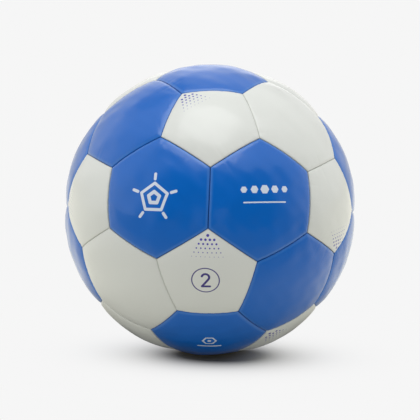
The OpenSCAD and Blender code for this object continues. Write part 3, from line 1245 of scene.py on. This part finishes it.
def layer_shell(panel, top_radius, bottom_radius, edge):
    """A closed layer from an outer to an inner surface. Each surface is a function of
    direction. Over the width of the edge the two draw together by a quarter ellipse,
    which rounds the rim. The valve's panel gets a round hole, like its leather."""
    hole_reach = neck_hole_r * ball_r / lining_in_r
    half = panel.flat_angle * ball_r
    deepest = half - (hole_reach if panel.has_valve else layer_middle_left)
    near_edge = backing_inset + edge * edge_shares
    further = np.linspace(near_edge[-1], deepest, layer_steps + 1)[1:]
    rows = panel_rows(panel, np.concatenate([near_edge, further]), layer_per_side)
    drawn = rolled(nearest_depth(panel, rows) - backing_inset, edge, edge)
    upper = (top_radius(panel, rows) - drawn)[::-1]
    lower = bottom_radius(panel, rows) + drawn
    directions = np.concatenate([rows[::-1], rows])
    points = settled(directions) * np.concatenate([upper, lower])[..., None]
    facts = {"panel_map": flat_map(panel, directions)}
    if panel.has_valve:
        return shell(points, None, facts)
    radii = [surface(panel, panel.middle[None])[0] for surface in (top_radius, bottom_radius)]
    return shell(points, end_points(panel, *radii), facts)


def foam_top(panel, directions):
    """The foam's outer surface follows the dome, below the leather and its glue."""
    return dome_radius(panel, directions) - skin_t - layer_gap


def at_radius(radius):
    """A surface that is a plain sphere."""
    return lambda panel, directions: np.full(directions.shape[:-1], radius)


foam_edge = 0.3 * mm
foam_shells = {
    kind: [layer_shell(p, foam_top, at_radius(foam_in_r), foam_edge) for p in some]
    for kind, some in by_kind.items()
}
print("pieces of foam:", {k: len(v) for k, v in foam_shells.items()})

# %% Foam material
small_cells, small_share = 2.6, 0.4
cell_range = (0.1, 0.9)
# Painted shade in the hollows of the foam's cells; the walls keep the foam's own cream.
foam_hollow_shade, foam_wall = painted(192, 184, 160), painted(230, 224, 202)


def foam_group():
    """Open cells of two sizes. Height is low inside a cell and high on its walls."""
    group, given, end = group_of("foam cells", {"Place": None, "Cell size": 0.5 * mm}, ("Height",))
    cells = maths(group, "DIVIDE", 1.0, given["Cell size"])
    large, small = (
        add(group, "TexVoronoi", {"Vector": given["Place"], "Scale": scale}).outputs["Distance"]
        for scale in (cells, times(group, cells, small_cells))
    )
    fill(group, end, {"Height": maths(group, "MULTIPLY_ADD", small, small_share, large)})
    return group


def foam_finish():
    """Cream polyurethane foam: matt, with the hollows of its cells painted darker, as
    painted shade, and their walls in the foam's own pale cream.
    """
    material, tree = start_finish("cream foam")
    place = add(tree, "TexCoord").outputs["Object"]
    cells = place_group(tree, foam_cells, {"Place": place})["Height"]
    surface = blend(tree, spread(tree, cells, *cell_range), foam_hollow_shade, foam_wall)
    close_finish(tree, surface, roughness=0.9, height=cells, relief=0.15 * mm, strength=0.8)
    return material


foam_cells = foam_group()
cream_foam = foam_finish()
for kind, shells in foam_shells.items():
    foam = piece_of(f"{kind}_foam", shells)
    dress(foam, "ball", "foam", cream_foam, f"{kind}_foam_backings")

# %% [markdown]
# ## Linings
#
# A woven lining is glued to the back of the foam. It is what stops a panel from
# stretching, so it is a plain weave of strong, even yarn. The cloth is stuck down
# over its whole face, so it has no drape of its own: it is a thin layer with a
# weave worked out on the panel's own map, so the yarns run straight across it.

# %% Weave material
lining_edge = 0.2 * mm
crossing = (-0.3, 0.3)
warp_colour, weft_colour = painted(202, 201, 192), painted(214, 214, 207)
# Painted shade in the hollows between the yarns: its colour, where it starts, and its share.
hollow_shade_colour, hollow_shade_range, hollow_shade_share = painted(120, 119, 112), (0.0, 0.5), 0.5


def weave_group():
    """Plain weave: each yarn is a rounded ridge along one axis, and it goes over and
    under by turns. Which yarn is on top changes like a chessboard."""
    group, given, end = group_of(
        "plain weave", {"Place": None, "Yarn pitch": 0.6 * mm}, ("Height", "Warp")
    )
    turn = maths(group, "DIVIDE", np.pi, given["Yarn pitch"])
    parts = add(group, "SeparateXYZ", {0: given["Place"]}).outputs
    turns = [times(group, parts[k], turn) for k in (0, 1)]
    ridges = [maths(group, "ABSOLUTE", maths(group, "COSINE", t)) for t in turns]
    waves = [maths(group, "SINE", t) for t in turns]
    over = spread(group, times(group, *waves), *crossing, 0.0, 1.0, True)
    fill(group, end, {"Height": between(group, over, *ridges), "Warp": over})
    return group


def lining_finish():
    """Undyed cotton and polyester: the two yarn directions differ a little in tone, and
    the hollows between the yarns are painted darker, as painted shade.
    """
    material, tree = start_finish("woven lining")
    weave = place_group(tree, plain_weave, {"Place": attribute(tree, "panel_map")})
    surface = blend(tree, weave["Warp"], warp_colour, weft_colour)
    # Painted shade where the weave is low, between the yarns.
    hollow = spread(tree, weave["Height"], *hollow_shade_range, hollow_shade_share, 0.0)
    surface = blend(tree, hollow, surface, hollow_shade_colour)
    close_finish(
        tree, surface, roughness=0.85, height=weave["Height"], relief=0.12 * mm, strength=0.9,
        more={"Sheen Weight": 0.2},
    )
    return material


plain_weave = weave_group()
woven_lining = lining_finish()
lining_faces = at_radius(lining_out_r), at_radius(lining_in_r)
for kind, some in by_kind.items():
    shells = [layer_shell(p, *lining_faces, lining_edge) for p in some]
    cloth = piece_of(f"{kind}_lining_cloth", shells)
    dress(cloth, "ball", "lining_cloth", woven_lining, f"{kind}_linings")

# %% [markdown]
# ## Sewing thread
#
# The panels are sewn with a thick waxed thread of two strands twisted together.
# One run lies along each seam, under the turned-in rims. A run is a profile
# carried along the seam's arc: two lobes, like a peanut, that turn as they go.

# %% Thread along the seams
thread_out_r = 0.38 * mm
thread_stop = 0.8 * mm
twist_pitch = 3.8 * mm
lobe_mean, lobe_swing = 0.86, 0.14
taper_length, taper_end = 0.3 * mm, 0.35
thread_steps, thread_around = 70, 10


def thread_run(start, stop):
    """A twisted run from one corner to the next. Across it the radius is a share of the
    outer one that swings twice round the profile, and the swing turns with the way.
    Both ends taper as the root of what is left of the way."""
    middle, way = unit(start + stop), unit(stop - start)
    half = np.arccos(start @ middle) - thread_stop / thread_r
    angles = np.linspace(-half, half, thread_steps)
    path = np.cos(angles)[:, None] * middle + np.sin(angles)[:, None] * way
    path = settled(path) * thread_r
    out = unit(path)
    aside = np.cross(unit(np.gradient(path, axis=0)), out)
    round_it = np.linspace(0, 2 * np.pi, thread_around, endpoint=False)
    twist = 2 * np.pi * (angles * thread_r)[:, None] / twist_pitch
    strand = np.cos(2 * (round_it[None] - twist))
    left = (half - np.abs(angles)) * thread_r / taper_length + taper_end
    radius = thread_out_r * (lobe_mean + lobe_swing * strand)
    radius = radius * np.sqrt(np.clip(left, 0, 1))[:, None]
    across = np.cos(round_it)[None, :, None] * out[:, None]
    across = across + np.sin(round_it)[None, :, None] * aside[:, None]
    return shell(path[:, None] + radius[..., None] * across, path[[0, -1]], {"strand": strand})


seam_ends = {
    tuple(np.round(unit(a + b), 3)): (a, b)
    for panel in panels for a, b in zip(panel.corners, panel.next_corners)
}
thread = piece_of("stitched_thread", [thread_run(a, b) for a, b in seam_ends.values()])
print("runs of thread:", len(seam_ends))

# %% Thread material
thread_shade, thread_light = painted(22, 34, 58), painted(52, 66, 98)
fibre_colour = painted(86, 98, 128)
fibre_scale, fibre_height = 6000.0, 0.3
fibre_range, fibre_share = (0.4, 0.8), 0.4


def thread_finish():
    """Dark blue waxed yarn. A slow stripe turns round the thread: painted shade in the
    crease between its two strands and painted light on their crests. Each strand
    has fine fibres of its own, paler at random."""
    material, tree = start_finish("waxed thread")
    # Painted shade in the crease between the strands, painted light on their crests.
    stripe = spread(tree, attribute(tree, "strand", "Fac"), -1.0, 1.0)
    fibres = noise(tree, add(tree, "TexCoord").outputs["Object"], fibre_scale)
    surface = blend(tree, stripe, thread_shade, thread_light)
    fibre_tone = spread(tree, fibres, *fibre_range, 0.0, fibre_share)
    surface = blend(tree, fibre_tone, surface, fibre_colour)
    height = maths(tree, "MULTIPLY_ADD", fibres, fibre_height, stripe)
    close_finish(tree, surface, roughness=0.45, height=height, relief=0.08 * mm, strength=0.7)
    return material


dress(thread, "ball", "thread", thread_finish(), "seam_thread")

# %% [markdown]
# ## Turned pieces
#
# The bladder and the parts of its valve are round about one axis, so each is a
# closed outline turned about it. An outline is a list of corners, each a distance
# from the axis and a height, and each with a radius by which it is rounded.


# %% Rounded outlines, turned about the valve's axis
def eased(corners, arc_steps=4, most=0.45):
    """Replaces each corner (reach, height, radius) by an arc that touches both sides: a
    quadratic curve from one touching point to the other, pulled to the corner. An arc
    takes at most a share of the shorter side."""
    flat = np.array([c[:2] for c in corners], float)
    points = []
    for i, (_, _, radius) in enumerate(corners):
        here, before, after = flat[i], flat[i - 1], flat[(i + 1) % len(flat)]
        if radius == 0:
            points.append(here)
            continue
        back_way, on_way = before - here, after - here
        room = min(np.linalg.norm(back_way), np.linalg.norm(on_way)) * most
        a = here + unit(back_way) * min(radius, room)
        b = here + unit(on_way) * min(radius, room)
        t = np.linspace(0, 1, arc_steps + 1)[:, None]
        points += list((1 - t) ** 2 * a + 2 * t * (1 - t) * here + t**2 * b)
    return np.array(points)


def round_axis(around):
    """Angles evenly round the valve's axis, and the direction out from it at each."""
    east, north = compass(valve_axis)
    angle = np.linspace(0, 2 * np.pi, around, endpoint=False)
    return angle, np.cos(angle)[:, None] * east + np.sin(angle)[:, None] * north


def turned(profile, around, tips=None):
    """Turns an outline of (reach, height) about the valve's axis. Each point becomes a
    circle: reach times the directions out from the axis, plus height along it."""
    _, ways = round_axis(around)
    rows = profile[:, None, :1] * ways[None] + profile[:, None, 1:] * valve_axis
    ends = None if tips is None else np.asarray(tips)[:, None] * valve_axis
    return shell(rows, ends)


def on_sphere(radius, reach):
    """The height over the ball's middle at which a sphere is at a reach from the axis."""
    return np.sqrt(radius**2 - np.asarray(reach) ** 2)


hole_height = float(on_sphere(ball_r, neck_hole_r))
print("the panel's face is", np.round(hole_height / mm, 2), "mm up at the hole")

# %% Rubber material
wall_scale, wall_height = 90.0, 2.0
talc_scale, talc_patch = 45.0, (0.48, 0.72)
talc_colour, talc_roughness = painted(150, 148, 144), 0.95


def rubber_group():
    """Moulded rubber: a fine matt grain, slow unevenness of the wall, and talc, which
    lies in patches."""
    group, given, end = group_of(
        "moulded rubber", {"Place": None, "Grain size": 0.35 * mm}, ("Height", "Talc")
    )
    place = given["Place"]
    grain = noise(group, place, maths(group, "DIVIDE", 1.0, given["Grain size"]))
    wall = noise(group, place, wall_scale)
    talc = noise(group, place, talc_scale, detail=5.0, roughness=0.7)
    fill(group, end, {
        "Height": maths(group, "MULTIPLY_ADD", wall, wall_height, grain),
        "Talc": spread(group, talc, *talc_patch, 0.0, 1.0, True),
    })
    return group


def rubber(name, colour, talc_share, roughness):
    """Rubber of one colour with some talc on it, which also makes it duller."""
    material, tree = start_finish(name)
    place = add(tree, "TexCoord").outputs["Object"]
    moulded = place_group(tree, moulded_rubber, {"Place": place})
    talc = times(tree, moulded["Talc"], talc_share)
    surface = blend(tree, talc, colour, talc_colour)
    rough = spread(tree, talc, 0.0, 1.0, roughness, talc_roughness)
    close_finish(tree, surface, rough, moulded["Height"], relief=0.03 * mm, strength=0.7)
    return material


moulded_rubber = rubber_group()
# Each rubber: whose it is, its colour, its share of talc, its roughness.
rubbers = {
    owner: rubber(f"{owner} rubber", painted(*colour), talc_share, roughness)
    for owner, colour, talc_share, roughness in (
        ("bladder", (38, 38, 40), 0.35, 0.48),
        ("valve", (44, 44, 46), 0.06, 0.42),
        ("core", (146, 148, 152), 0.05, 0.45),
        ("patch", (84, 79, 74), 0.22, 0.7),
    )
}
print("rubbers:", list(rubbers))

# %% [markdown]
# ## The bladder
#
# The bladder is a hollow rubber ball with one round hole for the valve. A real
# one is moulded with low ribs, which stiffen it while it is folded and pushed
# into the cover. It could be a sphere with thickness added by a modifier. Here
# both walls are one outline that runs from the hole round to the far side and
# back inside, so the ribs can be on the outside only.

# %% Bladder
bladder_out_r, bladder_in_r = 83.45 * mm, 82.45 * mm
bladder_around, bladder_steps = 192, 90
bladder_roll = 0.3 * mm
lip_steps = np.array([0.0, 0.03, 0.1, 0.3]) * mm
rib_count, rib_height, rib_power = 12, 0.09 * mm, 24
rib_fade, rib_bare = 1.3, 0.25


def bladder_shell():
    """The angle from the valve's axis runs from just before the far side to the hole,
    outside, and back again inside; a point on the far side closes each wall. The ribs
    are a power of a cosine of the angle round the axis, and fade out at both ends."""
    hole = np.arcsin(neck_hole_r / bladder_out_r)
    lip = hole + lip_steps / bladder_out_r
    angles = np.concatenate([lip, np.linspace(lip[-1], np.pi, bladder_steps)[1:-1]])[:, None]
    around, out = round_axis(bladder_around)
    ways = np.sin(angles)[..., None] * out[None] + np.cos(angles)[..., None] * valve_axis
    rib = rib_height * np.cos(around * rib_count / 2) ** rib_power
    fade = np.clip(np.sin(angles) * rib_fade - rib_bare, 0, 1)
    edge = rolled(bladder_out_r * (angles - hole), bladder_roll, bladder_roll)
    outer = ways * (bladder_out_r - edge + fade * rib)[..., None]
    inner = ways * (bladder_in_r + edge)[..., None]
    tips = np.outer([-bladder_out_r, -bladder_in_r], valve_axis)
    return shell(np.concatenate([outer[::-1], inner]), tips)


bladder = piece_of("rubber_bladder", [bladder_shell()])
dress(bladder, "ball", "bladder_rubber", rubbers["bladder"], "bladder")

# %% [markdown]
# ## The valve
#
# The valve is three pieces. The housing is bonded inside the bladder by its
# flange, and its neck stands in the panel's hole. The patch is a disc between
# flange and bladder that spreads the pull. The core is a plug that seals round
# the pump's needle, and it can be drawn out of the housing, so it rides on a body
# of its own. Its shaft has three shallow grooves that hold grease.

# %% Patch and housing
valve_top = 87.0 * mm
neck_r = 3.9 * mm
flange_reach = 9.0 * mm
flange_out_r, flange_in_r = 81.35 * mm, 79.85 * mm
barrel_r, barrel_bottom = 5.0 * mm, 70.85 * mm
bore_r = 2.5 * mm
seat_r, seat_bottom = 3.15 * mm, 85.95 * mm
patch_out_r, patch_in_r = 82.3 * mm, 81.5 * mm
patch_reach = 14.0 * mm
patch_bevel = (mm, 0.5 * mm)
patch_edge = np.array([0.7, 0.4, 0.15, 0.0]) * mm
patch_steps = 8


def patch_outline():
    """Out along the upper sphere, bevelled over the last bit, and back along the lower."""
    plain = np.linspace(neck_hole_r, patch_reach - patch_bevel[0], patch_steps)
    reach = np.concatenate([plain, patch_reach - patch_edge])
    upper = on_sphere(patch_out_r, reach) - rolled(patch_reach - reach, *patch_bevel)
    lower = on_sphere(patch_in_r, reach)
    return np.concatenate([
        np.column_stack([reach, upper]), np.column_stack([reach, lower])[::-1]
    ])


housing_corners = [
    (neck_r, valve_top, 0.35 * mm),
    (neck_r, on_sphere(flange_out_r, neck_r), 0.5 * mm),
    (flange_reach, on_sphere(flange_out_r, flange_reach), 0.35 * mm),
    (flange_reach, on_sphere(flange_in_r, flange_reach), 0.35 * mm),
    (barrel_r, on_sphere(flange_in_r, barrel_r), 0.6 * mm),
    (barrel_r, barrel_bottom, 0.9 * mm),
    (bore_r, barrel_bottom, 0.3 * mm),
    (bore_r, seat_bottom, 0.12 * mm),
    (seat_r, seat_bottom, 0.12 * mm),
    (seat_r, valve_top, 0.25 * mm),
]
housing_around = 96
patch = piece_of("rubber_patch", [turned(patch_outline(), housing_around)])
dress(patch, "ball", "patch_rubber", rubbers["patch"], "valve_patch")
housing = piece_of("rubber_valve_housing", [turned(eased(housing_corners), housing_around)])
dress(housing, "ball", "valve_rubber", rubbers["valve"], "valve_housing")

# %% Core
core_r = 2.45 * mm
head_r, head_bottom = 3.1 * mm, 86.0 * mm
guide_r, guide_bottom = 1.1 * mm, 82.0 * mm
mouth_w = 0.7 * mm
groove_heights = [74.0 * mm, 76.5 * mm, 79.0 * mm]
groove_depth, groove_half, groove_round = 0.14 * mm, 0.35 * mm, 0.08 * mm
core_around = 64


def groove(height):
    """Four corners of a shallow groove in the shaft."""
    floor_r, floor_half = core_r - groove_depth, groove_half / 2
    return [
        (core_r, height - groove_half, groove_round), (floor_r, height - floor_half, groove_round),
        (floor_r, height + floor_half, groove_round), (core_r, height + groove_half, groove_round),
    ]


core_corners = (
    [(0.4 * mm, barrel_bottom, 0), (core_r, barrel_bottom, 0.7 * mm)]
    + [corner for height in groove_heights for corner in groove(height)]
    + [
        (core_r, head_bottom, 0.1 * mm), (head_r, head_bottom, 0.15 * mm),
        (head_r, valve_top, 0.3 * mm), (guide_r + mouth_w, valve_top, 0.2 * mm),
        (guide_r, valve_top - mouth_w, 0.3 * mm), (guide_r, guide_bottom, 0.3 * mm),
        (0.3 * mm, guide_bottom, 0),
    ]
)
core_tips = (barrel_bottom, guide_bottom)
core = piece_of("rubber_valve_core", [turned(eased(core_corners), core_around, core_tips)])
dress(core, "core", "core_rubber", rubbers["core"], "valve_core")
